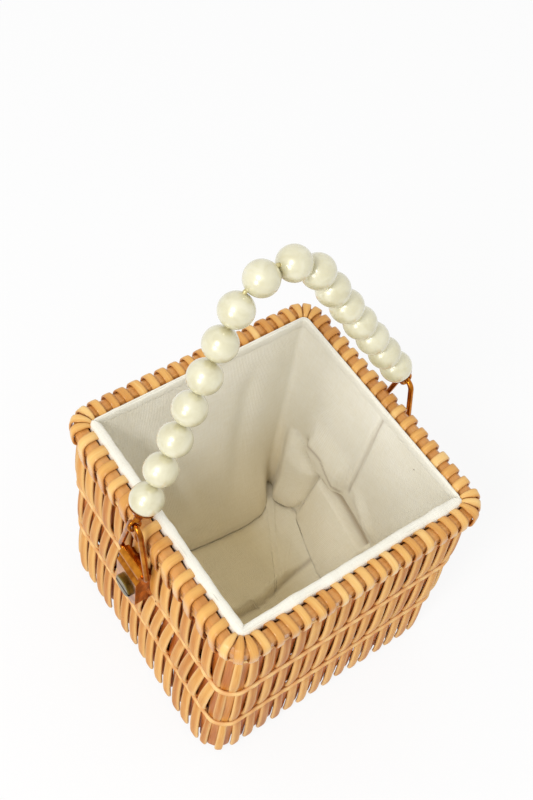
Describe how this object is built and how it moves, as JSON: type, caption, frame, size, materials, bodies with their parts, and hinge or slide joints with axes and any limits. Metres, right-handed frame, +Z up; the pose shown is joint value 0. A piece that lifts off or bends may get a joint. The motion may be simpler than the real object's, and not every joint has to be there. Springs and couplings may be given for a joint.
{
  "type": "woven basket bag",
  "caption": "Square open basket bag woven from rattan reeds over hoops, with a wrapped rim, a cotton liner and a swinging bead handle.",
  "frame": {"origin": "on the table under the middle of the basket", "axes": "+X from the left wall to the right wall, +Y from the front wall to the back wall, +Z up"},
  "size_m": [0.1696, 0.15, 0.2628],
  "materials": {
    "reed": "satin",
    "wrap": "gloss",
    "canvas": "matte",
    "pearl": "gloss",
    "gold": "polished",
    "wire": "satin"
  },
  "bodies": {
    "basket": {"rim_core": "reed", "corner_reeds": "reed", "base_stakes": "reed", "base_weavers": "reed", "hoop_base": "reed", "hoop_lower": "reed", "hoop_upper": "reed", "hoop_top": "reed", "rim_corner_wraps": "wrap", "rim_wraps_right": "wrap", "reeds_right": "reed", "liner_wall_right": "canvas", "rim_wraps_back": "wrap", "reeds_back": "reed", "liner_wall_back": "canvas", "rim_wraps_left": "wrap", "reeds_left": "reed", "liner_wall_left": "canvas", "rim_wraps_front": "wrap", "reeds_front": "reed", "liner_wall_front": "canvas", "liner_floor": "canvas", "liner_hem": "canvas", "clip_right": "gold", "screw_right": "gold", "backing_plate_right": "gold", "ring_right": "gold", "clip_left": "gold", "screw_left": "gold", "backing_plate_left": "gold", "ring_left": "gold"},
    "handle": {"pearl_beads": "pearl", "strand_core": "wire", "end_cap_right": "gold", "end_cap_left": "gold"}
  },
  "joints": [
    {"name": "handle_swing", "type": "hinge", "parent": "basket", "child": "handle", "pos_m": [0, 0, 0.1455], "axis": [1, 0, 0], "range_deg": [-60, 84]}
  ]
}
